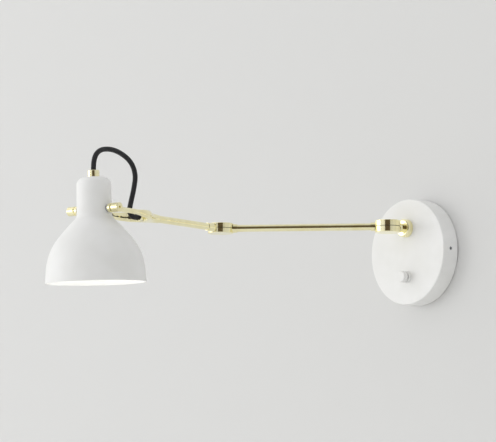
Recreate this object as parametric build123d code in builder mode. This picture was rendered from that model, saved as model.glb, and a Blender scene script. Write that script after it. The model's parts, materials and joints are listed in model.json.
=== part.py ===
# Swing arm wall light: a round canopy with a push switch, two brass arms that swing on
# vertical hinges, and a bell shade that tilts in a brass fork.
#
# Frame: the wall is the plane Y = 0 and the light stands out of it towards -Y, with +Z up.
# The origin is the centre of the canopy on the wall. Millimetres.
import os
from math import cos, pi, radians, sin, tan

from build123d import *

os.makedirs("parts", exist_ok=True)

# ---- driving dimensions -----------------------------------------------------------------
canopy_diameter = 120.0
canopy_depth = 22.5  # wall to the canopy's front face
canopy_wall = 1.5
canopy_front = 2.0
wall_gap = 1.0  # shadow gap round the canopy's back rim
arm_height = 26.8  # hinge axis of the arms above the canopy's centre
hinge_reach = 29.25  # canopy's front face to the first hinge axis

inner_length = 190.0  # first hinge axis to the elbow axis
outer_length = 220.0  # elbow axis to the shade's pivot
inner_angle = 45.0  # rest angle of the inner arm from the wall's normal, towards -X
outer_angle = -14.2  # the same for the outer arm
tube_diameter = 8.0
tube_wall = 1.0

disc_diameter = 29.2  # swivel discs of both hinges
wall_disc_height = 13.6
elbow_disc_height = 11.4
washer_thickness = 0.6
pin_diameter = 6.0
flange_diameter = 20.5
flange_thickness = 7.5
stem_diameter = 10.0
socket_diameter = 10.6
socket_length = 4.5  # part of a tube's socket that shows outside the disc

neck_clearance = 2.5  # shade's neck to a prong of the fork
prong_thickness = 3.6
prong_height = 5.4
parallel_end = 30.0  # pivot to where the prongs start to draw together
bend_half_gap = 17.0  # inner radius of the fork's round bend
fork_bend = 61.0  # pivot to the centre of that bend
root_height = 10.6
root_start = 75.0  # the fork has its root's full height from here
root_end = 98.0  # and is as slim as it is high from here
fork_length = 107.0  # pivot to the end of the fork on the arm's tube
knob_diameter = 10.0
knob_length = 10.0
knob_groove = 0.8  # undercut next to the prong
pivot_pin_diameter = 5.0

neck_radius = 18.9
neck_taper = 0.6  # how much slimmer the neck is at its top
neck_top = 34.2  # above the pivot
neck_corner = 8.5
shoulder_drop = 8.5  # pivot to the foot of the neck
rim_radius = 53.7
rim_drop = 78.1
shade_wall = 1.2
shade_tilt = 2.7  # at rest, the mouth swung towards the elbow

cable_diameter = 5.5
lead_play = 0.5  # radial, cable inside the tubes
gland_diameter = 12.6
gland_height = 7.5
nipple_diameter = 10.0
bulb_radius = 20.0
bulb_drop = 42.0  # pivot to the centre of the bulb's globe
holder_radius = 12.5

knob_height = -28.8  # switch button above the canopy's centre
button_diameter = 13.0
button_projection = 10.6
button_travel = 1.5
collar_thickness = 3.2

fixing_spacing = 60.0  # between the two wall screws
fixing_hole = 4.5
bracket_radius = 39.6
bracket_thickness = 2.0

# ---- clearances -------------------------------------------------------------------------
running = 0.05  # radial, shaft in a moving bore
snug = 0.02  # radial, shaft in a bore of the same body
apart = 0.3  # between faces of different bodies
loose = 0.4

# ---- planes and places ------------------------------------------------------------------
up = Vector(0, 0, 1)
wall = Plane.XZ  # local z points out of the wall
inner_direction = Vector(-sin(radians(inner_angle)), -cos(radians(inner_angle)), 0)
outer_direction = Vector(-sin(radians(outer_angle)), -cos(radians(outer_angle)), 0)

first_hinge = Vector(0, -canopy_depth - hinge_reach, arm_height)
wall_arm = Plane(origin=first_hinge, x_dir=(0, 1, 0), z_dir=up)  # local x towards the wall
inner_arm = Plane(origin=first_hinge, x_dir=inner_direction, z_dir=up)
elbow = first_hinge + inner_direction * inner_length
inner_end = Plane(origin=elbow, x_dir=inner_direction * -1, z_dir=up)  # back to the wall
outer_arm = Plane(origin=elbow, x_dir=outer_direction, z_dir=up)
pivot = elbow + outer_direction * outer_length
fork_plane = Plane(origin=pivot, x_dir=outer_direction * -1, z_dir=up)  # back to the elbow

tilt_up = up * cos(radians(shade_tilt)) + outer_direction * sin(radians(shade_tilt))
tilt_out = outer_direction * cos(radians(shade_tilt)) - up * sin(radians(shade_tilt))
shade_plane = Plane(origin=pivot, x_dir=tilt_out, z_dir=tilt_up)  # local y is the pivot axis


def level(plane, x, z):
    """The plane moved along itself by x and z."""
    return Plane(origin=plane.from_local_coords((x, 0, z)), x_dir=plane.x_dir, z_dir=plane.z_dir)


def across(plane, x):
    """A plane square to the arm, x along it: a sketch there is a cross-section."""
    return Plane(origin=plane.from_local_coords((x, 0, 0)), x_dir=plane.y_dir, z_dir=plane.x_dir)


def upright(plane):
    """The vertical plane along the arm: local x along the arm, local y up."""
    return Plane(origin=plane.origin, x_dir=plane.x_dir, z_dir=plane.y_dir * -1)


def sideways(plane, offset):
    """A plane facing along the shade's pivot axis, offset from the middle."""
    side = 1 if offset >= 0 else -1
    origin = plane.from_local_coords((0, offset, 0))
    return Plane(origin=origin, x_dir=plane.x_dir, z_dir=plane.y_dir * side)


def save(piece, label):
    """Label a finished piece and write its STEP file."""
    piece.part.label = label
    export_step(piece.part, "parts/" + label + ".step")


disc_radius = disc_diameter / 2
half_gap = washer_thickness / 2
tube_radius = tube_diameter / 2
tube_bore = tube_radius - tube_wall
lead_radius = tube_bore - lead_play
fork_half_gap = neck_radius + neck_clearance  # middle plane to a prong's inner face
cable_radius = cable_diameter / 2
sweep_radius = disc_radius + loose  # what turns past a disc is cut back to this

# ==== wall bracket and canopy ============================================================
canopy_radius = canopy_diameter / 2
canopy_inner = canopy_radius - canopy_wall
tab_thickness = 3.0
tab_width = 14.0
tab_reach = (canopy_inner**2 - (tab_width / 2) ** 2) ** 0.5 - apart
tab_end = 15.5  # wall to the end of a tab
screw_depth = 11.5  # side screws above the wall
side_screw_diameter = 4.0
side_screw_length = 8.0
side_screw_inset = 0.3  # below the canopy's rim
entry_radius = 8.0
front_edge = 1.2  # rounding of the canopy's front
hex_radius = 1.1
hex_depth = 2.0

with BuildPart() as wall_bracket:
    with BuildSketch(wall):
        Circle(bracket_radius)
        Rectangle(2 * tab_reach, tab_width)
        with GridLocations(fixing_spacing, 0, 2, 1):
            Circle(fixing_hole / 2, mode=Mode.SUBTRACT)
        Circle(entry_radius, mode=Mode.SUBTRACT)
    extrude(amount=bracket_thickness)
    with BuildSketch(wall.offset(bracket_thickness)):
        with GridLocations(2 * tab_reach - tab_thickness, 0, 2, 1):
            Rectangle(tab_thickness, tab_width)
    extrude(amount=tab_end - bracket_thickness)
    with BuildSketch(Plane(origin=(0, -screw_depth, 0), x_dir=(0, 1, 0), z_dir=(1, 0, 0))):
        Circle(side_screw_diameter / 2 + snug)
    extrude(amount=canopy_radius, both=True, mode=Mode.SUBTRACT)
save(wall_bracket, "wall_bracket")

with BuildPart() as canopy_cover:
    with BuildSketch(wall.offset(wall_gap)):
        Circle(canopy_radius)
    extrude(amount=canopy_depth - wall_gap)
    fillet(canopy_cover.faces().sort_by(Axis.Y)[0].edges(), front_edge)
    with BuildSketch(wall.offset(wall_gap)):
        Circle(canopy_inner)
    extrude(amount=canopy_depth - wall_gap - canopy_front, mode=Mode.SUBTRACT)
    with BuildSketch(wall.offset(canopy_depth)):
        with Locations((0, arm_height), (0, knob_height)):
            Circle(stem_diameter / 2 + snug)
    extrude(amount=-canopy_depth, mode=Mode.SUBTRACT)
    with BuildSketch(Plane(origin=(0, -screw_depth, 0), x_dir=(0, 1, 0), z_dir=(1, 0, 0))):
        Circle(side_screw_diameter / 2 + snug)
    extrude(amount=canopy_radius, both=True, mode=Mode.SUBTRACT)
save(canopy_cover, "canopy_cover")

with BuildPart() as canopy_side_screws:
    for side in (1, -1):
        head = (side * (canopy_radius - side_screw_inset), -screw_depth, 0)
        outside = Plane(origin=head, x_dir=(0, 1, 0), z_dir=(side, 0, 0))
        with BuildSketch(outside):
            Circle(side_screw_diameter / 2)
        extrude(amount=-side_screw_length)
        with BuildSketch(outside):
            RegularPolygon(hex_radius, 6)
        extrude(amount=-hex_depth, mode=Mode.SUBTRACT)
save(canopy_side_screws, "canopy_side_screws")

terminal_at = -24.0  # beside the cable's entry
terminal_width = 12.0
terminal_height = 26.0
terminal_depth = 11.0
terminal_pitch = 8.5
terminal_hole = 2.0
terminal_hole_depth = 4.0  # bracket to the wire holes
terminal_corner = 1.0
screw_radius = 2.2
screw_head = 1.0
slot_length = 3.2
slot_width = 0.8
pitches = (-terminal_pitch, 0, terminal_pitch)

with BuildPart() as terminal_block:
    with BuildSketch(wall.offset(bracket_thickness)):
        with Locations((terminal_at, 0)):
            Rectangle(terminal_width, terminal_height)
    extrude(amount=terminal_depth)
    fillet(terminal_block.edges().filter_by(Axis.Y), terminal_corner)
    with BuildSketch(Plane.YZ.offset(terminal_at - terminal_width / 2)):
        with Locations([(-bracket_thickness - terminal_hole_depth, height) for height in pitches]):
            Circle(terminal_hole)
    extrude(amount=terminal_width, mode=Mode.SUBTRACT)
save(terminal_block, "terminal_block")

with BuildPart() as terminal_screws:
    with BuildSketch(wall.offset(bracket_thickness + terminal_depth)):
        with Locations([(terminal_at, height) for height in pitches]):
            Circle(screw_radius)
            Rectangle(slot_length, slot_width, mode=Mode.SUBTRACT)
    extrude(amount=screw_head)
save(terminal_screws, "terminal_screws")

earth_at = (22.0, -22.0)
earth_radius = 3.5
earth_head = 2.4
earth_slot = 5.0
with BuildPart() as earth_screw:
    with BuildSketch(wall.offset(bracket_thickness)):
        with Locations(earth_at):
            Circle(earth_radius)
            Rectangle(earth_slot, slot_width, mode=Mode.SUBTRACT)
    extrude(amount=earth_head)
save(earth_screw, "earth_screw")

# ==== push switch ========================================================================
switch_body_depth = 10.0
switch_width = 15.0
switch_floor = 3.0
switch_corner = 1.0
collar_lip = 0.2  # collar's edge outside the button's
collar_edge = 0.4
button_edge = 0.7
bush_radius = stem_diameter / 2
plunger_radius = 3.4
switch_at = (0, knob_height)
canopy_back = canopy_depth - canopy_front
switch_bottom = canopy_back - switch_body_depth + switch_floor  # of the plunger's bore

with BuildPart() as switch_body:
    with BuildSketch(wall.offset(canopy_back - switch_body_depth)):
        with Locations(switch_at):
            RectangleRounded(switch_width, switch_width, switch_corner)
    extrude(amount=switch_body_depth)
    with BuildSketch(wall.offset(canopy_back)):
        with Locations(switch_at):
            Circle(bush_radius)
    extrude(amount=canopy_front + collar_thickness)
    with BuildSketch(wall.offset(switch_bottom)):
        with Locations(switch_at):
            Circle(plunger_radius + apart)
    extrude(amount=switch_body_depth + canopy_front + collar_thickness, mode=Mode.SUBTRACT)
save(switch_body, "switch_body")

with BuildPart() as switch_collar:
    with BuildSketch(wall.offset(canopy_depth)):
        with Locations(switch_at):
            Circle(button_diameter / 2 + collar_lip)
            Circle(bush_radius + snug, mode=Mode.SUBTRACT)
    extrude(amount=collar_thickness)
    fillet(switch_collar.faces().sort_by(Axis.Y)[0].edges().sort_by(SortBy.LENGTH)[-1], collar_edge)
save(switch_collar, "switch_collar")

button_gap = button_travel + apart
with BuildPart() as switch_button:
    with BuildSketch(wall.offset(canopy_depth + collar_thickness + button_gap)):
        with Locations(switch_at):
            Circle(button_diameter / 2)
    extrude(amount=button_projection - collar_thickness - button_gap)
    chamfer(switch_button.faces().sort_by(Axis.Y)[0].edges(), button_edge)
    with BuildSketch(wall.offset(switch_bottom + button_travel + apart)):
        with Locations(switch_at):
            Circle(plunger_radius)
    extrude(until=Until.NEXT)
save(switch_button, "switch_button")


# ==== swivel discs =======================================================================
disc_edge = 0.5


def half_disc(plane, top, height):
    """Upper or lower half of a swivel, with its outer edge eased."""
    low = half_gap if top else -height / 2
    with BuildPart() as half:
        with BuildSketch(level(plane, 0, low)):
            Circle(disc_radius)
        extrude(amount=height / 2 - half_gap)
        edges = half.faces().sort_by(Axis.Z)[-1 if top else 0].edges()
        chamfer(edges, disc_edge)
    return half.part


def clear_zone(plane, top, height):
    """The space that the upper or lower half sweeps, the washer included."""
    low = -half_gap if top else -height
    with BuildPart() as zone:
        with BuildSketch(level(plane, 0, low)):
            Circle(sweep_radius)
        extrude(amount=height + half_gap)
    return zone.part


cap_radius = 9.0
cap_thickness = 1.0
head_radius = 5.6
head_thickness = 1.6
pin_hex_radius = 1.8
pin_hex_depth = 4.0
washer_inset = 0.8  # friction washer inside the discs' edge

# wall side of the first hinge: flange, stem and lower disc in one casting
spigot = 13.0
flange_edge = 2.2
with BuildPart() as wall_hinge_base:
    with BuildSketch(across(wall_arm, hinge_reach - flange_thickness)):
        Circle(flange_diameter / 2)
    extrude(amount=flange_thickness)
    front = wall_hinge_base.faces().sort_by(Axis.Y)[0]
    fillet(front.edges(), flange_edge)
    with BuildSketch(across(wall_arm, 0)):
        Circle(stem_diameter / 2)
    extrude(amount=hinge_reach + spigot)
    add(clear_zone(wall_arm, True, wall_disc_height), mode=Mode.SUBTRACT)
    add(half_disc(wall_arm, False, wall_disc_height))
    with BuildSketch(level(wall_arm, 0, -wall_disc_height / 2)):
        Circle(pin_diameter / 2 + snug)
    extrude(amount=wall_disc_height, mode=Mode.SUBTRACT)
    with BuildSketch(level(wall_arm, 0, -wall_disc_height / 2)):
        Circle(cap_radius + snug)
    extrude(amount=cap_thickness, mode=Mode.SUBTRACT)
    with BuildSketch(across(wall_arm, disc_radius)):
        Circle(lead_radius)
    extrude(amount=hinge_reach, mode=Mode.SUBTRACT)
save(wall_hinge_base, "wall_hinge_base")

nut_radius = 9.5
nut_thickness = 4.0
nut_washer_radius = 11.0
nut_washer_thickness = 1.2
with BuildPart() as stem_nut:
    with BuildSketch(across(wall_arm, hinge_reach + canopy_front + nut_washer_thickness)):
        RegularPolygon(nut_radius, 6)
        Circle(stem_diameter / 2 + snug, mode=Mode.SUBTRACT)
    extrude(amount=nut_thickness)
save(stem_nut, "stem_nut")

with BuildPart() as stem_washer:
    with BuildSketch(across(wall_arm, hinge_reach + canopy_front)):
        Circle(nut_washer_radius)
        Circle(stem_diameter / 2 + snug, mode=Mode.SUBTRACT)
    extrude(amount=nut_washer_thickness)
save(stem_washer, "stem_washer")

socket_start = disc_radius - 4  # inside the disc, where the socket's cone begins
socket_floor = disc_radius - 2


def swivel_socket(plane, top, height, length, mouth):
    """Half disc with a tube socket beside it; mouth is the socket's outer radius at its end."""
    with BuildPart() as half:
        with BuildSketch(across(plane, socket_start)):
            Circle(socket_diameter / 2)
        with BuildSketch(across(plane, disc_radius + length)):
            Circle(mouth)
        loft()
        add(clear_zone(plane, not top, height), mode=Mode.SUBTRACT)
        add(half_disc(plane, top, height))
        with BuildSketch(across(plane, socket_floor)):
            Circle(tube_radius + snug)
        extrude(amount=disc_radius + length - socket_floor, mode=Mode.SUBTRACT)
    return half.part


def pin_seat(plane, top, height, bore):
    """What the pin, its head and the flush cap take out of a half disc."""
    side = 1 if top else -1
    with BuildPart() as seat:
        with BuildSketch(level(plane, 0, -height)):
            Circle(bore)
        extrude(amount=2 * height)
        with BuildSketch(level(plane, 0, side * height / 2)):
            Circle(cap_radius + snug)
        extrude(amount=-side * cap_thickness)
        if top:
            with BuildSketch(level(plane, 0, height / 2)):
                Circle(head_radius + apart)
            extrude(amount=-cap_thickness - head_thickness - 2 * apart)
    return seat.part


def hinge_pin(plane, height):
    """Hollow pin pressed into the lower half, its head over the upper half."""
    head_top = height / 2 - cap_thickness - apart
    with BuildPart() as pin:
        with BuildSketch(level(plane, 0, -height / 2 + cap_thickness)):
            Circle(pin_diameter / 2)
        extrude(amount=height / 2 - cap_thickness + head_top)
        with BuildSketch(level(plane, 0, head_top - head_thickness)):
            Circle(head_radius)
        extrude(amount=head_thickness)
        with BuildSketch(level(plane, 0, head_top)):
            RegularPolygon(pin_hex_radius, 6)
        extrude(amount=-pin_hex_depth, mode=Mode.SUBTRACT)
    return pin.part


def friction_washer(plane):
    """Thin ring in the split between two half discs, fixed to the lower one."""
    with BuildPart() as ring:
        with BuildSketch(level(plane, 0, -half_gap)):
            Circle(disc_radius - washer_inset)
            Circle(pin_diameter / 2 + snug, mode=Mode.SUBTRACT)
        extrude(amount=washer_thickness - apart)
    return ring.part


def flush_cap(plane, top, height):
    """Thin cover over the end of the pin."""
    side = 1 if top else -1
    with BuildPart() as cap:
        with BuildSketch(level(plane, 0, side * height / 2)):
            Circle(cap_radius)
        extrude(amount=-side * cap_thickness)
    return cap.part


swivel_pieces = {
    "wall_hinge_pin": hinge_pin(wall_arm, wall_disc_height),
    "wall_hinge_washer": friction_washer(wall_arm),
    "wall_hinge_lower_cap": flush_cap(wall_arm, False, wall_disc_height),
    "wall_hinge_upper_cap": flush_cap(inner_arm, True, wall_disc_height),
    "elbow_pin": hinge_pin(inner_end, elbow_disc_height),
    "elbow_washer": friction_washer(inner_end),
    "elbow_lower_cap": flush_cap(inner_end, False, elbow_disc_height),
    "elbow_upper_cap": flush_cap(outer_arm, True, elbow_disc_height),
}
for name, shape in swivel_pieces.items():
    with BuildPart() as swivel_piece:
        add(shape)
    save(swivel_piece, name)

# ==== inner arm ==========================================================================
mouth_wall = 0.8  # wall of a socket at its mouth
with BuildPart() as inner_arm_wall_knuckle:
    add(swivel_socket(inner_arm, True, wall_disc_height, socket_length, tube_radius + mouth_wall))
    add(pin_seat(inner_arm, True, wall_disc_height, pin_diameter / 2 + running), mode=Mode.SUBTRACT)
save(inner_arm_wall_knuckle, "inner_arm_wall_knuckle")

with BuildPart() as inner_arm_elbow_knuckle:
    add(swivel_socket(inner_end, False, elbow_disc_height, socket_length, tube_radius + mouth_wall))
    add(pin_seat(inner_end, False, elbow_disc_height, pin_diameter / 2 + snug), mode=Mode.SUBTRACT)
save(inner_arm_elbow_knuckle, "inner_arm_elbow_knuckle")

tube_start = disc_radius - 1  # tube end inside its socket
lead_start = sweep_radius + 1


def round_bar(plane, start, end, outer, inner=0.0):
    """Straight round bar or tube along the arm."""
    with BuildPart() as bar:
        with BuildSketch(across(plane, start)):
            Circle(outer)
            if inner:
                Circle(inner, mode=Mode.SUBTRACT)
        extrude(amount=end - start)
    return bar.part


with BuildPart() as inner_arm_tube:
    add(round_bar(inner_arm, tube_start, inner_length - tube_start, tube_radius, tube_bore))
    # the discs that turn past the tube's ends leave it room
    add(clear_zone(inner_arm, False, wall_disc_height), mode=Mode.SUBTRACT)
    add(clear_zone(inner_end, True, elbow_disc_height), mode=Mode.SUBTRACT)
save(inner_arm_tube, "inner_arm_tube")

with BuildPart() as inner_arm_lead:
    add(round_bar(inner_arm, lead_start, inner_length - lead_start, lead_radius))
save(inner_arm_lead, "inner_arm_lead")

# ==== outer arm ==========================================================================
taper_length = 11.0
taper_wall = 0.4  # wall of the tapered socket at its mouth
with BuildPart() as outer_arm_elbow_knuckle:
    add(swivel_socket(outer_arm, True, elbow_disc_height, taper_length, tube_radius + taper_wall))
    add(pin_seat(outer_arm, True, elbow_disc_height, pin_diameter / 2 + running), mode=Mode.SUBTRACT)
save(outer_arm_elbow_knuckle, "outer_arm_elbow_knuckle")

tube_stop = 99.0  # end of the tube inside the fork's root, from the pivot
with BuildPart() as outer_arm_tube:
    add(round_bar(outer_arm, tube_start, outer_length - tube_stop, tube_radius, tube_bore))
    add(clear_zone(outer_arm, False, elbow_disc_height), mode=Mode.SUBTRACT)
save(outer_arm_tube, "outer_arm_tube")

cable_end = 88.5  # where the free cable meets the lead, from the pivot
with BuildPart() as outer_arm_lead:
    add(round_bar(outer_arm, lead_start, outer_length - cable_end, lead_radius))
save(outer_arm_lead, "outer_arm_lead")

# fork: two prongs that draw together into a round-bottomed crotch and a tapering root,
# deeper at the root than at the prongs
prong_outer = fork_half_gap + prong_thickness
root_radius = root_height / 2
half_prong = prong_height / 2
eye_radius = knob_diameter / 2
crotch = fork_bend + bend_half_gap
bend_outer = (75.0, 17.5)  # outside of the bend on its way into the root
root_outer = (89.0, 8.5)
thickening = 15.0  # the prongs keep their height this far past the parallel stretch
bore_play = 0.35  # radial, cable in its bore
bore_radius = max(cable_radius, lead_radius) + bore_play  # the lead's end lies in it too
collar_start = crotch - 5.5  # a round collar stands out of the crotch, and the cable enters it
mouth_flare = 1.9  # the bore's mouth is this much wider in radius
flare_length = 10.0
cover = 1.0  # how far a cutting or keeping body reaches past the fork
with BuildPart() as fork:
    with BuildSketch(level(fork_plane, 0, -root_radius)):
        with BuildLine():
            Line((0, fork_half_gap), (parallel_end, fork_half_gap))
            Spline((parallel_end, fork_half_gap), (fork_bend, bend_half_gap), tangents=[(1, 0), (1, 0)])
            CenterArc((fork_bend, 0), bend_half_gap, 90, -90)
            Polyline((crotch, 0), (root_end, 0), (root_end, root_radius))
            Spline(
                (root_end, root_radius), root_outer, bend_outer, (parallel_end, prong_outer),
                tangents=[(-1, 0.15), (-1, 0)],
            )
            Polyline((parallel_end, prong_outer), (0, prong_outer), (0, fork_half_gap))
        make_face()
        mirror(about=Plane.XZ)
    extrude(amount=root_height)
    with BuildSketch(upright(fork_plane)):
        with BuildLine():
            a = Line((-eye_radius, half_prong), (parallel_end + thickening, half_prong))
            b = Spline(a @ 1, (root_start, root_radius), tangents=[(1, 0), (1, 0)])
            Polyline(b @ 1, (fork_length, root_radius), (fork_length, 0), (-eye_radius, 0), a @ 0)
        make_face()
        mirror(about=Plane.XZ)
    extrude(amount=prong_outer + cover, both=True, mode=Mode.INTERSECT)
    with BuildSketch(across(fork_plane, root_end - cover)):
        Circle(root_radius)
    with BuildSketch(across(fork_plane, fork_length)):
        Circle(tube_radius + taper_wall)
    loft()
    with BuildSketch(across(fork_plane, collar_start)):
        Circle(root_radius)
    extrude(amount=crotch + cover - collar_start)
    for offset in (fork_half_gap, -prong_outer):
        with BuildSketch(Plane(origin=fork_plane.from_local_coords((0, offset, 0)),
                               x_dir=fork_plane.x_dir, z_dir=fork_plane.y_dir)):
            Circle(eye_radius)
        extrude(amount=prong_thickness)
    with BuildSketch(sideways(fork_plane, 0)):
        Circle(pivot_pin_diameter / 2 + running)
    extrude(amount=prong_outer + cover, both=True, mode=Mode.SUBTRACT)
    with BuildSketch(across(fork_plane, tube_stop)):
        Circle(tube_radius + snug)
    extrude(amount=fork_length - tube_stop, mode=Mode.SUBTRACT)
    with BuildSketch(across(fork_plane, collar_start)):
        Circle(bore_radius)
    extrude(amount=fork_length - collar_start, mode=Mode.SUBTRACT)
with BuildPart() as bore_mouth:
    with BuildSketch(across(fork_plane, collar_start - cover)):
        Circle(bore_radius + mouth_flare)
    with BuildSketch(across(fork_plane, collar_start + flare_length)):
        Circle(bore_radius)
    loft()
with BuildPart() as bored_fork:
    add(fork.part)
    add(bore_mouth.part, mode=Mode.SUBTRACT)
save(bored_fork, "fork")

# ==== shade ==============================================================================
# outline points of the bell, as radius and height above the pivot
bell_steps = [(0.63, 0.31), (0.862, 0.53), (0.967, 0.75)]  # as shares of the rim's radius and drop
bell = [(rim_radius * out, -rim_drop * down) for out, down in bell_steps]
wall_out = 0.95  # how the inner wall's points follow from the outer ones, per millimetre of wall
wall_down = 0.35
foot_down = 0.4
shoulder_way = (0.75, -0.7)  # direction of the bell at its shoulder and at its rim
rim_way = (0.1, -1)
shoulder_round = 9.0  # hollow curve from the neck into the bell


def bell_face(inset):
    """Half section of the shade's solid, drawn inwards by inset all over."""
    radius = neck_radius - inset
    top_radius = radius - neck_taper
    corner = neck_corner - inset
    top = neck_top - inset
    points = [(r - inset * wall_out, h - inset * wall_down) for r, h in bell]
    mouth = (rim_radius - inset, -rim_drop)
    foot = (radius, -shoulder_drop - inset * foot_down)
    with BuildSketch() as section:
        with BuildLine():
            Line((0, -rim_drop), (0, top))
            Line((0, top), (top_radius - corner, top))
            CenterArc((top_radius - corner, top - corner), corner, 0, 90)
            Line((top_radius, top - corner), foot)
            Spline(foot, *points, mouth, tangents=[shoulder_way, rim_way])
            Line(mouth, (0, -rim_drop))
        make_face()
        shoulder = section.vertices().sort_by_distance(foot)[0]
        fillet(shoulder, shoulder_round + inset)
    return section.sketch


with BuildPart() as shade_blank:
    with BuildSketch(upright(shade_plane)):
        add(bell_face(0))
    revolve(axis=Axis(pivot, tilt_up))
with BuildPart() as shade_hollow:
    with BuildSketch(upright(shade_plane)):
        add(bell_face(shade_wall))
    revolve(axis=Axis(pivot, tilt_up))

bush_shaft = 4.0
hole_reach = 2.0  # how far a cut runs past the wall
with BuildPart() as shade:
    add(shade_blank.part)
    add(shade_hollow.part, mode=Mode.SUBTRACT)
    with BuildSketch(level(shade_plane, 0, neck_top)):
        Circle(nipple_diameter / 2 + snug)
    extrude(amount=-shade_wall - hole_reach, mode=Mode.SUBTRACT)
    with BuildSketch(sideways(shade_plane, 0)):
        Circle(bush_shaft + snug)
    extrude(amount=neck_radius + hole_reach, both=True, mode=Mode.SUBTRACT)
save(shade, "shade")

# pivot: a bush through each side of the neck, a spacer washer and a knob screw
bush_gap = 0.8  # end of a bush to the prong
bush_end = fork_half_gap - bush_gap
bush_start = 13.6
bush_flange = 6.0
seat_play = 0.15  # flat flange inside a round wall
seat = ((neck_radius - shade_wall) ** 2 - bush_flange**2) ** 0.5 - seat_play
pivot_pin = pivot_pin_diameter / 2
washer_step = 0.4  # spacer washer inside the eye's edge

with BuildPart() as pivot_bushes:
    for side in (1, -1):
        with BuildSketch(sideways(shade_plane, side * bush_start)):
            Circle(bush_flange)
        extrude(amount=seat - bush_start)
        with BuildSketch(sideways(shade_plane, side * bush_start)):
            Circle(bush_shaft)
        extrude(amount=bush_end - bush_start)
        with BuildSketch(sideways(shade_plane, side * bush_start)):
            Circle(pivot_pin + snug)
        extrude(amount=bush_end - bush_start, mode=Mode.SUBTRACT)
save(pivot_bushes, "pivot_bushes")

with BuildPart() as pivot_washers:
    for side in (1, -1):
        with BuildSketch(sideways(shade_plane, side * bush_end)):
            Circle(eye_radius - washer_step)
            Circle(pivot_pin + snug, mode=Mode.SUBTRACT)
        extrude(amount=bush_gap - apart)
save(pivot_washers, "pivot_washers")

knob_edge = 0.35
groove_depth = 0.9
knob_hex_radius = 1.5
knob_hex_depth = 2.5
pin_stop = 0.5  # end of the knob's pin inside its bush


def knob_body(side):
    """Knob screw: a turned head with an undercut, and the pin that the shade turns on."""
    foot = sideways(shade_plane, side * (prong_outer + apart))
    with BuildPart() as knob:
        with BuildSketch(foot.offset(knob_groove)):
            Circle(knob_diameter / 2)
        extrude(amount=knob_length - knob_groove)
        chamfer(knob.edges().filter_by(GeomType.CIRCLE), knob_edge)
        with BuildSketch(foot):
            Circle(knob_diameter / 2 - groove_depth)
        extrude(amount=knob_groove)
        with BuildSketch(foot):
            Circle(pivot_pin)
        extrude(amount=-(prong_outer + apart - bush_start - pin_stop))
        with BuildSketch(foot.offset(knob_length)):
            RegularPolygon(knob_hex_radius, 6)
        extrude(amount=-knob_hex_depth, mode=Mode.SUBTRACT)
    return knob.part


knob_shapes = [knob_body(1), knob_body(-1)]
with BuildPart() as pivot_knobs:
    add(knob_shapes)
save(pivot_knobs, "pivot_knobs")

# ==== lamp fittings ======================================================================
gland_top = 2.0  # thickness of the gland's top
gland_edge = 0.8
nipple_low = 22.0
nipple_high = neck_top + gland_height - gland_top
nut_hex_radius = 8.0
nut_height = 3.0
holder_top = 24.0
holder_low = -12.0
holder_edge = 2.5
holder_bore_depth = 22.0
cavity_low = 16.0  # below the nipple, where the cable's cores spread
socket_bore = 7.2  # small screw cap
cap_play = 0.3
cap_below = 4.0  # end of the bulb's cap below the holder
cap_length = 23.0
cap_bevel = 2.0

clamp_radius = 1.4
clamp_drop = 0.4  # below the middle of the gland
clamp_proud = 0.9
clamp_slot = 0.5
clamp_slot_depth = 0.6
clamp_length = gland_diameter / 2 + clamp_proud - nipple_diameter / 2 - snug
clamp_height = neck_top + gland_height / 2 - clamp_drop
clamp_foot = shade_plane.from_local_coords((nipple_diameter / 2 + snug, 0, clamp_height))
clamp_plane = Plane(origin=clamp_foot, x_dir=shade_plane.y_dir, z_dir=shade_plane.x_dir)  # faces outwards

with BuildPart() as gland:
    with BuildSketch(level(shade_plane, 0, neck_top)):
        Circle(gland_diameter / 2)
    extrude(amount=gland_height)
    fillet(gland.faces().sort_by(Axis.Z)[-1].edges(), gland_edge)
    with BuildSketch(level(shade_plane, 0, neck_top)):
        Circle(nipple_diameter / 2 + snug)
    extrude(amount=gland_height - gland_top, mode=Mode.SUBTRACT)
    with BuildSketch(level(shade_plane, 0, neck_top)):
        Circle(cable_radius + loose)
    extrude(amount=gland_height, mode=Mode.SUBTRACT)
    with BuildSketch(clamp_plane.offset(-nipple_diameter / 2)):
        Circle(clamp_radius + snug)
    extrude(amount=gland_diameter, mode=Mode.SUBTRACT)
save(gland, "gland")

with BuildPart() as gland_screw:
    with BuildSketch(clamp_plane):
        Circle(clamp_radius)
    extrude(amount=clamp_length)
    with BuildSketch(clamp_plane.offset(clamp_length)):
        Rectangle(2 * clamp_radius, clamp_slot)
    extrude(amount=-clamp_slot_depth, mode=Mode.SUBTRACT)
save(gland_screw, "gland_screw")

with BuildPart() as nipple:
    with BuildSketch(level(shade_plane, 0, nipple_low)):
        Circle(nipple_diameter / 2)
        Circle(cable_radius + bore_play, mode=Mode.SUBTRACT)
    extrude(amount=nipple_high - nipple_low)
save(nipple, "nipple")

with BuildPart() as nipple_nut:
    with BuildSketch(level(shade_plane, 0, neck_top - shade_wall - nut_height)):
        RegularPolygon(nut_hex_radius, 6)
        Circle(nipple_diameter / 2 + snug, mode=Mode.SUBTRACT)
    extrude(amount=nut_height)
save(nipple_nut, "nipple_nut")

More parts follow.
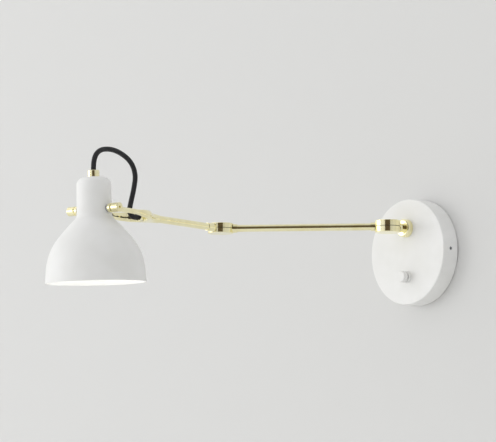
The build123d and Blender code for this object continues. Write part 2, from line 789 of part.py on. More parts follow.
with BuildPart() as lamp_holder:
    with BuildSketch(level(shade_plane, 0, holder_low)):
        Circle(holder_radius)
    extrude(amount=holder_top - holder_low)
    fillet(lamp_holder.faces().sort_by(Axis.Z)[-1].edges(), holder_edge)
    with BuildSketch(level(shade_plane, 0, holder_low)):
        Circle(socket_bore)
    extrude(amount=holder_bore_depth, mode=Mode.SUBTRACT)
    with BuildSketch(level(shade_plane, 0, cavity_low)):
        Circle(cable_radius + bore_play)
    extrude(amount=nipple_low - cavity_low, mode=Mode.SUBTRACT)
    with BuildSketch(level(shade_plane, 0, nipple_low)):
        Circle(nipple_diameter / 2 + snug)
    extrude(amount=holder_top - nipple_low, mode=Mode.SUBTRACT)
save(lamp_holder, "lamp_holder")

with BuildPart() as bulb_cap:
    with BuildSketch(level(shade_plane, 0, holder_low - cap_below)):
        Circle(socket_bore - cap_play)
    extrude(amount=cap_length)
    chamfer(bulb_cap.faces().sort_by(Axis.Z)[-1].edges(), cap_bevel)
save(bulb_cap, "bulb_cap")

bulb_neck = 9.5
globe_turn = 120  # degrees of the outline that are round
with BuildPart() as bulb:
    with BuildSketch(upright(shade_plane)):
        with BuildLine():
            globe = CenterArc((0, -bulb_drop), bulb_radius, -90, globe_turn)
            flank = Spline(globe @ 1, (bulb_neck, holder_low - cap_below), tangents=[globe % 1, (0, 1)])
            Polyline(flank @ 1, (0, holder_low - cap_below), globe @ 0)
        make_face()
    revolve(axis=Axis(pivot, tilt_up))
save(bulb, "bulb")

lead_tail = 4.0  # lead below the nipple
with BuildPart() as lamp_lead:
    with BuildSketch(level(shade_plane, 0, nipple_low - lead_tail)):
        Circle(cable_radius)
    extrude(amount=nipple_high - nipple_low + lead_tail)
save(lamp_lead, "lamp_lead")

# ==== free cable =========================================================================
# Route in the fork's middle plane: distance from the pivot towards the elbow, then height.
# It leaves the gland straight up, loops over and goes down between the prongs into the root.
exit_slope = tan(radians(shade_tilt))
exit_height = nipple_high * cos(radians(shade_tilt))
first_bend = 53.0
route = [
    (-exit_height * exit_slope, exit_height),
    (-first_bend * exit_slope, first_bend),
    (6.3, 64.5),
    (24.4, 68.1),
    (42.4, 65.9),
    (60.0, 58.5),
    (68.6, 45.4),
    (65.2, 28.1),
    (60.2, 13.4),
    (57.8, 4.3),
    (61.2, -0.6),
    (65.8, -2.2),
    (72.9, -1.6),
    (81.0, 0.0),
    (cable_end, 0.0),
]
route_plane = upright(fork_plane)
points = [route_plane.from_local_coords((along, height, 0)) for along, height in route]
runs = [b - a for a, b in zip(points, points[1:])]
radii = []
for before, after in zip(runs, runs[1:]):
    turn = radians(before.get_angle(after))
    radii.append(0.45 * min(before.length, after.length) / tan(turn / 2))

with BuildPart() as cable:
    with BuildLine() as cable_path:
        FilletPolyline(*points, radius=radii)
    with BuildSketch(Plane(origin=points[0], x_dir=route_plane.z_dir, z_dir=runs[0])):
        Circle(cable_radius)
    sweep(path=cable_path.wires()[0])
save(cable, "cable")

length = cable_path.wires()[0].length
area = pi * cable_radius**2
print("cable radii", [round(r, 1) for r in radii])
print("cable length", round(length, 1), "volume ratio", round(cable.part.volume / (area * length), 4))
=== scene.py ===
import json

import bmesh
import bpy
import numpy as np
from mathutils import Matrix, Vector


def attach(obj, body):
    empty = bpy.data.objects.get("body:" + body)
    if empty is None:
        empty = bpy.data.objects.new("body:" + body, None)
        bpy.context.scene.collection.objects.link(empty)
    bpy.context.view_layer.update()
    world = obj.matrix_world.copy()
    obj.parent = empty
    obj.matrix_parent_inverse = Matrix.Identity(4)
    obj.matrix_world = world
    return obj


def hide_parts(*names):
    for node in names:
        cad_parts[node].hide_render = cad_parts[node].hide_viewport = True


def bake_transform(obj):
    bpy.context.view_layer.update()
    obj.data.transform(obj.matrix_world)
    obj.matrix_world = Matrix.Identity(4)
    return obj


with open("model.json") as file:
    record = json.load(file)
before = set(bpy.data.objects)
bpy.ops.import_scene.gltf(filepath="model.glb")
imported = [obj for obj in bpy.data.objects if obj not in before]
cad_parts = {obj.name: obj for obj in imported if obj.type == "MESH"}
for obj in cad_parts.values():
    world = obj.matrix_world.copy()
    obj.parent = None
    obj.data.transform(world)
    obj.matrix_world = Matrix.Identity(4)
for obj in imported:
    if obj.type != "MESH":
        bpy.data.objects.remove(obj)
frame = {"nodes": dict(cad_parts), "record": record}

nodes = frame["nodes"]
joints = {joint["name"]: joint for joint in frame["record"]["behaviour"]["joints"]}
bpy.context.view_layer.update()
mm = 0.001


def linear(hexCode):
    # sRGB hex to linear: the standard curve, a straight toe and a power of 2.4 above it
    channels = np.array([int(hexCode[i:i + 2], 16) for i in (1, 3, 5)]) / 255
    bright = ((channels + 0.055) / 1.055) ** 2.4
    return (*np.where(channels <= 0.04045, channels / 12.92, bright), 1.0)


def addNode(tree, kind, settings=None, links=None, stops=()):
    # one node: settings go to its properties or its input values, links join its inputs, and stops are
    # a ramp's positions and hex colours
    node = tree.nodes.new(kind)
    for key, value in (settings or {}).items():
        if isinstance(key, str) and hasattr(node, key) and key not in node.inputs:
            setattr(node, key, value)
        else:
            node.inputs[key].default_value = value
    for key, source in (links or {}).items():
        tree.links.new(source, node.inputs[key])
    if stops:
        for stop, (position, colour) in zip(node.color_ramp.elements, stops):
            stop.position = position
            stop.color = linear(colour)
    return node


def newMaterial(name):
    material = bpy.data.materials.new(name)
    material.use_nodes = True
    tree = material.node_tree
    tree.nodes.clear()
    return material, tree, addNode(tree, "ShaderNodeOutputMaterial")


# sizes in mm: the orange peel's grain and depth, and the patches that the colour drifts over
powderCoat = {"colour": "#F4F4F3", "shade": "#EFEFED", "roughness": 0.55, "orangePeel": 0.7,
              "peelDepth": 0.02, "peelStrength": 0.12, "patches": 35}


def mattPowderCoat():
    # white powder coat, sprayed and baked: an even matt white with a fine orange peel
    material, tree, output = newMaterial("mattWhitePowderCoat")
    place = addNode(tree, "ShaderNodeTexCoord")
    peel = addNode(tree, "ShaderNodeTexNoise",
                   {"Scale": 1 / (powderCoat["orangePeel"] * mm), "Detail": 2.0, "Roughness": 0.5},
                   {"Vector": place.outputs["Object"]})
    drift = addNode(tree, "ShaderNodeTexNoise", {"Scale": 1 / (powderCoat["patches"] * mm), "Detail": 2.0},
                    {"Vector": place.outputs["Object"]})
    colour = addNode(tree, "ShaderNodeValToRGB", links={"Fac": drift.outputs["Fac"]},
                     stops=[(0.35, powderCoat["shade"]), (0.65, powderCoat["colour"])])
    bump = addNode(tree, "ShaderNodeBump",
                   {"Strength": powderCoat["peelStrength"], "Distance": powderCoat["peelDepth"] * mm},
                   {"Height": peel.outputs["Fac"]})
    coat = addNode(tree, "ShaderNodeBsdfPrincipled", {"Roughness": powderCoat["roughness"]},
                   {"Base Color": colour.outputs["Color"], "Normal": bump.outputs["Normal"]})
    tree.links.new(coat.outputs["BSDF"], output.inputs["Surface"])
    return material


# sizes in mm: the polishing marks and their depth, and the patches that the colour drifts over
brass = {"colour": "#FEF8D0", "deep": "#F8EFC0", "smoothest": 0.09, "roughest": 0.17, "marks": 0.35,
         "markDepth": 0.01, "markStrength": 0.05, "patches": 14}


def polishedBrass():
    # brass, turned, polished and lacquered: pale gold mirrors that fine polishing marks soften unevenly
    material, tree, output = newMaterial("polishedBrass")
    place = addNode(tree, "ShaderNodeTexCoord")
    marks = addNode(tree, "ShaderNodeTexNoise", {"Scale": 1 / (brass["marks"] * mm), "Detail": 3.0},
                    {"Vector": place.outputs["Object"]})
    drift = addNode(tree, "ShaderNodeTexNoise", {"Scale": 1 / (brass["patches"] * mm), "Detail": 3.0},
                    {"Vector": place.outputs["Object"]})
    colour = addNode(tree, "ShaderNodeValToRGB", links={"Fac": drift.outputs["Fac"]},
                     stops=[(0.35, brass["deep"]), (0.62, brass["colour"])])
    # the noise from 0.3 to 0.7 becomes a roughness from the smoothest to the roughest
    rough = addNode(tree, "ShaderNodeMapRange", {1: 0.3, 2: 0.7, 3: brass["smoothest"], 4: brass["roughest"]},
                    {"Value": marks.outputs["Fac"]})
    bump = addNode(tree, "ShaderNodeBump",
                   {"Strength": brass["markStrength"], "Distance": brass["markDepth"] * mm},
                   {"Height": marks.outputs["Fac"]})
    metal = addNode(tree, "ShaderNodeBsdfPrincipled", {"Metallic": 1.0},
                    {"Base Color": colour.outputs["Color"], "Roughness": rough.outputs[0],
                     "Normal": bump.outputs["Normal"]})
    tree.links.new(metal.outputs["BSDF"], output.inputs["Surface"])
    return material


smallParts = {"roughnessSpread": 0.06, "grainDepth": 0.03, "grainStrength": 0.1}  # depth in mm


def plainFinish(name, dark, light, roughness, grain, metallic=0.0):
    # a small part's finish: mottled between two colours, with a grain of the given size in mm
    material, tree, output = newMaterial(name)
    place = addNode(tree, "ShaderNodeTexCoord")
    texture = addNode(tree, "ShaderNodeTexNoise", {"Scale": 1 / (grain * mm), "Detail": 3.0},
                      {"Vector": place.outputs["Object"]})
    colour = addNode(tree, "ShaderNodeValToRGB", links={"Fac": texture.outputs["Fac"]},
                     stops=[(0.3, dark), (0.7, light)])
    spread = smallParts["roughnessSpread"]
    rough = addNode(tree, "ShaderNodeMapRange",
                    {1: 0.3, 2: 0.7, 3: roughness - spread, 4: roughness + spread},
                    {"Value": texture.outputs["Fac"]})
    bump = addNode(tree, "ShaderNodeBump",
                   {"Strength": smallParts["grainStrength"], "Distance": smallParts["grainDepth"] * mm},
                   {"Height": texture.outputs["Fac"]})
    body = addNode(tree, "ShaderNodeBsdfPrincipled", {"Metallic": metallic},
                   {"Base Color": colour.outputs["Color"], "Roughness": rough.outputs[0],
                    "Normal": bump.outputs["Normal"]})
    tree.links.new(body.outputs["BSDF"], output.inputs["Surface"])
    return material


opal = {"colour": "#FBF8EF", "shade": "#F4EFE2", "roughness": 0.25, "patches": 12, "glow": "#FFFEFC",
        "glowStrength": 2.9}  # patches in mm


def opalGlass():
    # opal glass, blown with a white flashing: an even milky glow with no hot spot
    material, tree, output = newMaterial("opalGlass")
    place = addNode(tree, "ShaderNodeTexCoord")
    cloud = addNode(tree, "ShaderNodeTexNoise", {"Scale": 1 / (opal["patches"] * mm), "Detail": 2.0},
                    {"Vector": place.outputs["Object"]})
    colour = addNode(tree, "ShaderNodeValToRGB", links={"Fac": cloud.outputs["Fac"]},
                     stops=[(0.3, opal["shade"]), (0.7, opal["colour"])])
    glass = addNode(tree, "ShaderNodeBsdfPrincipled",
                    {"Roughness": opal["roughness"], "Emission Color": linear(opal["glow"]),
                     "Emission Strength": opal["glowStrength"]},
                    {"Base Color": colour.outputs["Color"]})
    tree.links.new(glass.outputs["BSDF"], output.inputs["Surface"])
    return material


# the yarns that run each way round the cable; the length of half a yarn's turn and the yarns' height, in mm;
# dark is painted shade in the grooves between the yarns and light a painted lighter tone on their crowns
braid = {"dark": "#0E0E10", "light": "#2B2B2F", "yarns": 16, "halfTurn": 5.2, "yarnHeight": 0.12,
         "yarnStrength": 0.5, "roughness": 0.85, "sheen": 0.1}


def braidedTextile():
    # rayon braid over the cable's cores: soft black yarns crossing in a fine herringbone, with painted shade
    # in the grooves between them
    material, tree, output = newMaterial("braidedBlackRayon")
    around = addNode(tree, "ShaderNodeUVMap", {"uv_map": "cable"})
    parts = addNode(tree, "ShaderNodeSeparateXYZ", links={0: around.outputs["UV"]})
    # u is metres along and v goes from 0 to 1 round the cable: with n yarns each way and h for half a turn,
    # the two diagonals are v*n/2 + and - u*n/(4*h), and a yarn keeps one value of its own diagonal
    across = addNode(tree, "ShaderNodeMath", {"operation": "MULTIPLY", 1: braid["yarns"] / 2},
                     {0: parts.outputs["Y"]}).outputs[0]
    along = addNode(tree, "ShaderNodeMath",
                    {"operation": "MULTIPLY", 1: braid["yarns"] / (4 * braid["halfTurn"] * mm)},
                    {0: parts.outputs["X"]}).outputs[0]
    ridges, sides = [], []
    for operation in ("ADD", "SUBTRACT"):
        diagonal = addNode(tree, "ShaderNodeMath", {"operation": operation}, {0: across, 1: along}).outputs[0]
        half = addNode(tree, "ShaderNodeMath", {"operation": "MULTIPLY", 1: np.pi}, {0: diagonal}).outputs[0]
        whole = addNode(tree, "ShaderNodeMath", {"operation": "MULTIPLY", 1: 2.0}, {0: half}).outputs[0]
        wave = addNode(tree, "ShaderNodeMath", {"operation": "SINE"}, {0: whole}).outputs[0]
        ridges.append(addNode(tree, "ShaderNodeMath", {"operation": "ABSOLUTE"}, {0: wave}).outputs[0])
        sides.append(addNode(tree, "ShaderNodeMath", {"operation": "SINE"}, {0: half}).outputs[0])
    # over and under: the sign of the two slow waves' product picks which yarn lies on top
    over = addNode(tree, "ShaderNodeMath", {"operation": "MULTIPLY"}, {0: sides[0], 1: sides[1]}).outputs[0]
    pick = addNode(tree, "ShaderNodeMath", {"operation": "GREATER_THAN", 1: 0.0}, {0: over}).outputs[0]
    height = addNode(tree, "ShaderNodeMix", {"data_type": "FLOAT"},
                     {0: pick, 2: ridges[0], 3: ridges[1]}).outputs[0]
    # painted shade: the colour follows the yarns' height, dark in the grooves between them and lighter on
    # their crowns
    colour = addNode(tree, "ShaderNodeValToRGB", links={"Fac": height},
                     stops=[(0.0, braid["dark"]), (1.0, braid["light"])])
    bump = addNode(tree, "ShaderNodeBump",
                   {"Strength": braid["yarnStrength"], "Distance": braid["yarnHeight"] * mm},
                   {"Height": height})
    cloth = addNode(tree, "ShaderNodeBsdfPrincipled",
                    {"Roughness": braid["roughness"], "Sheen Weight": braid["sheen"]},
                    {"Base Color": colour.outputs["Color"], "Normal": bump.outputs["Normal"]})
    tree.links.new(cloth.outputs["BSDF"], output.inputs["Surface"])
    return material


finishes = {
    "white_paint": mattPowderCoat(),
    "polished_brass": polishedBrass(),
    "zinc_steel": plainFinish("zincPlatedSteel", "#9C9FA2", "#B9BCBE", 0.32, 0.9, metallic=1.0),
    "raw_brass": plainFinish("turnedBrass", "#B08F45", "#C9A95C", 0.3, 0.6, metallic=1.0),
    "nylon": plainFinish("mouldedNylon", "#1B1B1D", "#242427", 0.5, 0.5),
    "terminal_plastic": plainFinish("mouldedPolyamide", "#DDDACB", "#E8E5D8", 0.45, 0.8),
    "black_plastic": plainFinish("mouldedPhenolic", "#131314", "#1F1F21", 0.3, 0.7),
    "textile_cable": braidedTextile(),
    "lead_sheath": plainFinish("extrudedPvc", "#202022", "#2A2A2D", 0.45, 1.2),
    "opal_glass": opalGlass(),
}

slotOf = {part["node"]: part["material_slot"] for part in frame["record"]["subparts"]}
# the pivot's washers are undyed nylon, and the swivels' friction washers are black
undyedNylon = plainFinish("undyedNylon", "#D9D5C8", "#E6E2D6", 0.5, 0.5)
for nodeName, cadPiece in nodes.items():
    for holder in cadPiece.material_slots:
        holder.material = undyedNylon if nodeName == "pivot_washers" else finishes[slotOf[nodeName]]
print("finishes on", len(nodes), "nodes")


tiltJoint = joints["shade_tilt"]
pivot = Vector(tiltJoint["pos_m"])
pivotAxis = Vector(tiltJoint["axis"]).normalized()
up = Vector((0, 0, 1))
toElbow = up.cross(pivotAxis)  # level, from the shade's pivot back along the outer arm
# its diameter in mm, the sides of its round and the steps between two points of the route
cable = {"diameter": 5.5, "sides": 32, "resolution": 24}
# the route in the fork's middle plane, in mm: distance from the pivot towards the elbow, then height
cableRoute = [(-1.870, 39.656), (-2.499, 53.0), (6.3, 64.5), (24.4, 68.1), (42.4, 65.9), (60.0, 58.5),
              (68.6, 45.4), (65.2, 28.1), (60.2, 13.4), (57.8, 4.3), (61.2, -0.6), (65.8, -2.2), (72.9, -1.6),
              (81.0, 0.0), (88.5, 0.0)]


def splinePoints(name, controls):
    # the points of a quadratic NURBS through the two ends, as Blender works them out
    line = bpy.data.curves.new(name, "CURVE")
    line.dimensions = "3D"
    line.resolution_u = cable["resolution"]
    spline = line.splines.new("NURBS")
    spline.points.add(len(controls) - 1)
    for point, place in zip(spline.points, controls):
        point.co = (*place, 1.0)
    spline.order_u = 3  # quadratic
    spline.use_endpoint_u = True
    holder = bpy.data.objects.new(name, line)
    bpy.context.scene.collection.objects.link(holder)
    bpy.context.view_layer.update()
    mesh = bpy.data.meshes.new_from_object(holder.evaluated_get(bpy.context.evaluated_depsgraph_get()))
    spots = np.empty(len(mesh.vertices) * 3)
    mesh.vertices.foreach_get("co", spots)
    bpy.data.objects.remove(holder)
    return spots.reshape(-1, 3)


def gridMesh(name, grid, closeRows=True, caps=False):
    # rows by columns of points made a mesh of quads; closeRows joins each row's end to its start, and caps
    # close the first and the last row
    rows, columns = grid.shape[:2]
    row, column = np.meshgrid(np.arange(rows - 1), np.arange(columns if closeRows else columns - 1),
                              indexing="ij")
    nextColumn = (column + 1) % columns
    faces = np.stack([row * columns + column, row * columns + nextColumn,
                      (row + 1) * columns + nextColumn, (row + 1) * columns + column], axis=-1).reshape(-1, 4)
    polygons = faces.tolist()
    if caps:
        polygons.append(list(range(columns))[::-1])
        polygons.append(list(range((rows - 1) * columns, rows * columns)))
    mesh = bpy.data.meshes.new(name)
    mesh.from_pydata(grid.reshape(-1, 3), [], polygons)
    mesh.shade_smooth()
    piece = bpy.data.objects.new(name, mesh)
    bpy.context.scene.collection.objects.link(piece)
    return piece


def unit(vectors):
    # each vector over its own length
    return vectors / np.linalg.norm(vectors, axis=-1, keepdims=True)


controls = [pivot + (toElbow * along + up * height) * mm for along, height in cableRoute]
cableLine = splinePoints("cableLine", controls)
steps = np.linalg.norm(np.diff(cableLine, axis=0), axis=1)
travelled = np.concatenate([[0.0], np.cumsum(steps)])
print("cable", round(travelled[-1] / mm, 1), "mm long,", len(cableLine), "points")


def cableTube():
    # a circle of the cable's radius carried along the line: each ring stands square to the line's tangent,
    # its first direction the pivot axis, which the whole route is square to
    tangents = unit(np.gradient(cableLine, travelled, axis=0))
    side = np.broadcast_to(np.array(pivotAxis), tangents.shape)
    other = np.cross(tangents, side)
    turn = np.linspace(0, 2 * np.pi, cable["sides"], endpoint=False)
    radius = cable["diameter"] / 2 * mm
    ring = (side[:, None] * np.cos(turn)[:, None] + other[:, None] * np.sin(turn)[:, None]) * radius
    piece = gridMesh("braided_cable", cableLine[:, None] + ring, caps=True)
    mesh = piece.data
    layer = mesh.uv_layers.new(name="cable")
    corner = np.empty(len(mesh.loops), dtype=int)
    mesh.loops.foreach_get("vertex_index", corner)
    row, column = np.divmod(corner, cable["sides"])
    around = column / cable["sides"]
    quads = len(mesh.loops) - 2 * cable["sides"]
    sides = around[:quads].reshape(-1, 4)
    wraps = sides.max(axis=1) - sides.min(axis=1) > 0.5  # quads across the seam: their v runs on past 1
    sides[wraps] = np.where(sides[wraps] < 0.5, sides[wraps] + 1, sides[wraps])
    around[:quads] = sides.ravel()
    layer.data.foreach_set("uv", np.stack([travelled[row], around], axis=-1).astype(np.float32).ravel())
    mesh.materials.append(finishes["textile_cable"])
    return piece


cablePiece = cableTube()
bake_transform(cablePiece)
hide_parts("cable")
print("cable made")

# the fork, in mm: distance from the pivot towards the elbow, then half gap, outer half width, half height or
# the rounding at an edge
forkPlan = {
    "eye": 5.0, "eyeSteps": 17, "prongSteps": 40,  # the round end at the pivot; points on it and the prong
    "bend": 61.0, "gap": 17.0, "bendSteps": 41,  # the crotch: its half circle's start, radius and points
    "tip": 107.0, "tipShare": 0.8, "tipPull": 0.4,  # the root's end; how the outer points spread to it
    "segments": 20, "land": 0.02,  # strips across the plan; half the flat left at its edges
    "inner": [(-5, 21.4), (30, 21.4), (38, 21.15), (46, 20.0), (54, 18.0), (61, 17.0)],
    "outer": [(-5, 25.0), (30, 25.0), (38, 24.9), (46, 24.3), (54, 23.3), (61, 22.0), (68, 20.2), (75, 17.5),
              (82, 12.9), (89, 8.5), (94, 6.3), (98, 5.3), (103, 4.8), (107, 4.5)],
    "height": [(5, 2.7), (42, 2.7), (50, 3.1), (60, 4.1), (69, 5.0), (77, 5.3), (95, 5.25), (101, 4.9),
               (107, 4.5)],
    "edge": [(-5, 0.45), (7, 0.45), (16, 1.8), (40, 1.8), (61, 2.5)],
    "outerEdge": [(-5, 0.45), (7, 0.45), (16, 1.8), (40, 1.8), (61, 2.5), (80, 5.0), (98, 5.0),
                  (107, 4.5)]}
# the collar that the cable enters, in mm: distance from the pivot, then radius, from its root round its mouth
forkCollar = {
    "sides": 48,
    "profile": [(80.0, 5.2), (74.0, 5.2), (73.0, 5.2), (72.6, 5.1), (72.5, 4.95), (72.6, 4.85), (73.2, 4.7),
                (75.0, 4.35), (77.0, 4.0), (78.6, 3.7)]}


def eased(table, at):
    # smooth curve through a table's points: cubic Hermite pieces, each point's slope the mean of the slopes
    # on its two sides, but level at the ends and where the table turns back
    x, y = np.array(table, dtype=float).T
    slopes = np.gradient(y, x)
    slopes[1:-1] = np.where(np.diff(y)[:-1] * np.diff(y)[1:] <= 0, 0.0, slopes[1:-1])
    slopes[0] = slopes[-1] = 0.0
    k = np.clip(np.searchsorted(x, at) - 1, 0, len(x) - 2)
    width = x[k + 1] - x[k]
    t = np.clip((at - x[k]) / width, 0, 1)
    return ((2 * t**3 - 3 * t**2 + 1) * y[k] + (t**3 - 2 * t**2 + t) * width * slopes[k]
            + (3 * t**2 - 2 * t**3) * y[k + 1] + (t**3 - t**2) * width * slopes[k + 1])


def forkLines():
    # matching points of the inner and the outer outline of one half, from a prong's end to the middle of the
    # root: along the prong, then round a quarter circle inside and along the tapering root outside
    eye = -forkPlan["eye"] * np.cos(np.linspace(0, np.pi, forkPlan["eyeSteps"]))
    prong = np.concatenate([eye, np.linspace(forkPlan["eye"], forkPlan["bend"], forkPlan["prongSteps"])[1:]])
    bend = np.linspace(0, 1, forkPlan["bendSteps"])[1:]
    angle = (1 - bend) * np.pi / 2
    inside = np.stack([forkPlan["bend"] + forkPlan["gap"] * np.cos(angle), forkPlan["gap"] * np.sin(angle)],
                      axis=-1)
    share, pull = forkPlan["tipShare"], forkPlan["tipPull"]
    reach = np.clip(bend / share, 0, 1)
    along = forkPlan["bend"] + (forkPlan["tip"] - forkPlan["bend"]) * ((1 - pull) * reach + pull * reach**2)
    width = eased(forkPlan["outer"], along) * np.clip((1 - bend) / (1 - share), 0, 1)
    inner = np.concatenate([np.stack([prong, eased(forkPlan["inner"], prong)], axis=-1), inside])
    outer = np.concatenate([np.stack([prong, eased(forkPlan["outer"], prong)], axis=-1),
                            np.stack([along, width], axis=-1)])
    return inner, outer


def forkPiece():
    # half height over the plan: z = h(s) * e(dI / rI) * e(dO / rO) + land, where dI and dO are the distances
    # to the inner and outer outlines, rI and rO the rounding there, and e(x) = sqrt(1 - (1 - min(x, 1))^2), a
    # quarter circle
    inner, outer = forkLines()
    inner = np.concatenate([inner, (inner * (1, -1))[-2::-1]])
    outer = np.concatenate([outer, (outer * (1, -1))[-2::-1]])
    across = (1 - np.cos(np.linspace(0, np.pi, forkPlan["segments"] + 1))) / 2
    plan = inner[:, None] + (outer - inner)[:, None] * across[:, None]
    s, a = plan[..., 0], np.abs(plan[..., 1])
    past = s > forkPlan["bend"]
    insideGap = np.where(past, np.hypot(s - forkPlan["bend"], a) - forkPlan["gap"],
                         a - eased(forkPlan["inner"], s))
    outsideGap = eased(forkPlan["outer"], s) - a
    eye = np.sqrt(np.clip(forkPlan["eye"]**2 - s**2, 0, None))
    height = np.where(s < forkPlan["eye"], eye, 0)
    prong = eased(forkPlan["height"], np.clip(s, forkPlan["eye"], None))
    height = np.maximum(height, np.where(s > 0, prong, 0))
    near = np.clip(insideGap / eased(forkPlan["edge"], np.minimum(s, forkPlan["bend"])), 0, 1)
    far = np.clip(outsideGap / eased(forkPlan["outerEdge"], s), 0, 1)
    z = height * np.sqrt(1 - (1 - near)**2) * np.sqrt(1 - (1 - far)**2) + forkPlan["land"]
    heights = np.concatenate([z, -z[:, ::-1]], axis=1)
    flat = np.concatenate([plan, plan[:, ::-1]], axis=1)
    places = (np.array(pivot) + (np.array(toElbow) * flat[..., :1] + np.array(pivotAxis) * flat[..., 1:]
                                 + np.array(up) * heights[..., None]) * mm)
    piece = gridMesh("brass_fork", places, caps=True)
    collar = cableCollar()
    both = bmesh.new()
    both.from_mesh(piece.data)
    both.from_mesh(collar.data)
    both.to_mesh(piece.data)
    both.free()
    bpy.data.objects.remove(collar)
    piece.data.materials.append(finishes["polished_brass"])
    return piece


def cableCollar():
    # a cup turned round the outer arm's line: its profile, distance and radius, carried through a full turn
    along, radius = np.array(forkCollar["profile"]).T
    turn = np.linspace(0, 2 * np.pi, forkCollar["sides"], endpoint=False)
    across = np.array(pivotAxis) * np.cos(turn)[:, None] + np.array(up) * np.sin(turn)[:, None]
    profile = np.array(toElbow) * along[:, None, None] + across * radius[:, None, None]
    places = np.array(pivot) + profile * mm
    return gridMesh("cable_collar", places, caps=True)


forkShape = forkPiece()
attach(forkShape, "outer_arm")
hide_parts("fork")
print("fork made")


# metres, but the hole behind the light, its gap to the wall and the plaster's grain and depth are in mm
room = {"wall": "#DEDEDD", "floor": "#F2F2F0", "width": 6.0, "rings": (0.2, 1.0), "sides": 96, "hole": 56.0,
        "gap": 0.5, "floorDrop": 1.5, "floorDepth": 12.0, "roughness": 0.9, "plasterGrain": 2.5,
        "plasterDepth": 0.1, "plasterStrength": 0.03}
studio = {"leftStrength": 1.28, "rightStrength": 0.64, "colour": "#F4F4F4"}


def oneSided(name, colour):
    # painted plaster on the room's side; from behind it isn't there, so the light's back can be seen
    material, tree, output = newMaterial(name)
    place = addNode(tree, "ShaderNodeTexCoord")
    speck = addNode(tree, "ShaderNodeTexNoise", {"Scale": 1 / (room["plasterGrain"] * mm), "Detail": 3.0},
                    {"Vector": place.outputs["Object"]})
    bump = addNode(tree, "ShaderNodeBump",
                   {"Strength": room["plasterStrength"], "Distance": room["plasterDepth"] * mm},
                   {"Height": speck.outputs["Fac"]})
    paint = addNode(tree, "ShaderNodeBsdfPrincipled",
                    {"Base Color": linear(colour), "Roughness": room["roughness"]},
                    {"Normal": bump.outputs["Normal"]})
    clear = addNode(tree, "ShaderNodeBsdfTransparent")
    side = addNode(tree, "ShaderNodeNewGeometry")
    mix = addNode(tree, "ShaderNodeMixShader", links={0: side.outputs["Backfacing"], 1: paint.outputs["BSDF"],
                                                      2: clear.outputs["BSDF"]})
    tree.links.new(mix.outputs["Shader"], output.inputs["Surface"])
    return material


def roomWall():
    # rings in the wall's plane, x = r cos t and z = r sin t, from a hole behind the canopy to the far edge
    turn = np.linspace(0, 2 * np.pi, room["sides"], endpoint=False)
    radii = np.array([room["hole"] * mm, *room["rings"], room["width"]])
    x = radii[:, None] * np.cos(turn)
    z = radii[:, None] * np.sin(turn)
    grid = np.stack([x, np.full_like(x, room["gap"] * mm), z], axis=-1)
    wall = gridMesh("room_wall", grid)
    wall.data.materials.append(oneSided("wallPaint", room["wall"]))
    return wall


def roomFloor():
    # a level grid of x and y, at the floor's drop below the light
    x, y = np.meshgrid(np.linspace(-room["width"], room["width"], 3), np.linspace(-room["floorDepth"], 0, 3),
                       indexing="ij")
    grid = np.stack([x, y, np.full_like(x, -room["floorDrop"])], axis=-1)
    floor = gridMesh("room_floor", grid, closeRows=False)
    floor.data.materials.append(oneSided("floorPaint", room["floor"]))
    return floor


wall = roomWall()
floor = roomFloor()
for slab, facing in ((wall, Vector((0, -1, 0))), (floor, up)):
    if slab.data.polygons[0].normal.dot(facing) < 0:
        slab.data.flip_normals()

world = bpy.data.worlds.new("studio")
bpy.context.scene.world = world
world.use_nodes = True
sky = world.node_tree
# an even pale studio, brighter on the window's side: the strength falls along x from left to right
direction = addNode(sky, "ShaderNodeTexCoord")
axes = addNode(sky, "ShaderNodeSeparateXYZ", links={0: direction.outputs["Generated"]})
slope = addNode(sky, "ShaderNodeMapRange",
                {1: -1.0, 2: 1.0, 3: studio["leftStrength"], 4: studio["rightStrength"]},
                {"Value": axes.outputs["X"]})
sky.nodes["Background"].inputs["Color"].default_value = linear(studio["colour"])
sky.links.new(slope.outputs[0], sky.nodes["Background"].inputs["Strength"])

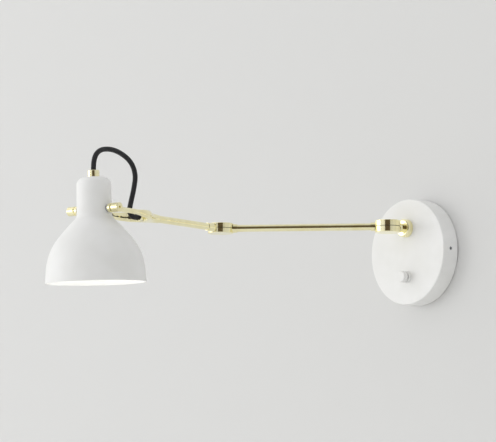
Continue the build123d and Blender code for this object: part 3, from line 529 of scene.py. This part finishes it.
window = {"place": (-3.1, -3.6, 0.2), "target": (-0.05, -0.2, 0), "size": (3.2, 2.6), "power": 38}  # m and W
lamp = bpy.data.lights.new("windowLight", "AREA")
lamp.shape = "RECTANGLE"
lamp.size, lamp.size_y = window["size"]
lamp.energy = window["power"]
windowLight = bpy.data.objects.new("windowLight", lamp)
windowLight.location = window["place"]
aim = Vector(window["target"]) - Vector(window["place"])
windowLight.rotation_euler = aim.to_track_quat("-Z", "Y").to_euler()
bpy.context.scene.collection.objects.link(windowLight)


def bearing(azimuth, elevation):
    # the direction at an azimuth, counted from straight in front of the wall, and an elevation:
    # (sin az * cos el, -cos az * cos el, sin el)
    azimuth, elevation = np.radians(azimuth), np.radians(elevation)
    return np.stack([np.sin(azimuth) * np.cos(elevation), -np.cos(azimuth) * np.cos(elevation),
                     np.sin(elevation)], axis=-1)


cards = {"reach": 3.4, "steps": 9, "darkGrey": "#574C3C", "middleGrey": "#B7B7B5"}  # reach in m


def reflectionCard(name, colour, azimuths, elevations):
    # a patch of a sphere round the shade's pivot, bearings times the reach: a grey flag that shows in
    # reflections and nowhere else
    azimuth, elevation = np.meshgrid(np.linspace(*azimuths, cards["steps"]),
                                     np.linspace(*elevations, cards["steps"]), indexing="ij")
    card = gridMesh(name, np.array(pivot) + bearing(azimuth, elevation) * cards["reach"], closeRows=False)
    material, tree, output = newMaterial(name)
    glow = addNode(tree, "ShaderNodeEmission", {"Color": linear(colour), "Strength": 1.0})
    tree.links.new(glow.outputs["Emission"], output.inputs["Surface"])
    card.data.materials.append(material)
    card.visible_camera = card.visible_diffuse = card.visible_shadow = card.visible_transmission = False
    return card


reflectionCard("blackFlag", cards["darkGrey"], (26, 76), (-24, 46))
reflectionCard("greyFlag", cards["middleGrey"], (-10, 110), (46, 80))

# degrees and metres, and mm for the lens and the sensor
view = {"azimuth": 50.983, "elevation": -6.851, "place": (1.85968762, -1.76168346, -0.26979644),
        "lens": 163.18, "sensor": 36, "clipEnd": 50}
lens = bpy.data.cameras.new("camera")
lens.sensor_width = view["sensor"]
lens.lens = view["lens"]
lens.clip_end = view["clipEnd"]
camera = bpy.data.objects.new("camera", lens)
camera.location = view["place"]
camera.rotation_mode = "QUATERNION"
camera.rotation_quaternion = (-Vector(bearing(view["azimuth"], view["elevation"]))).to_track_quat("-Z", "Y")
bpy.context.scene.collection.objects.link(camera)
bpy.context.scene.camera = camera
bpy.context.scene.view_settings.view_transform = "Standard"
print("room, light and camera set")
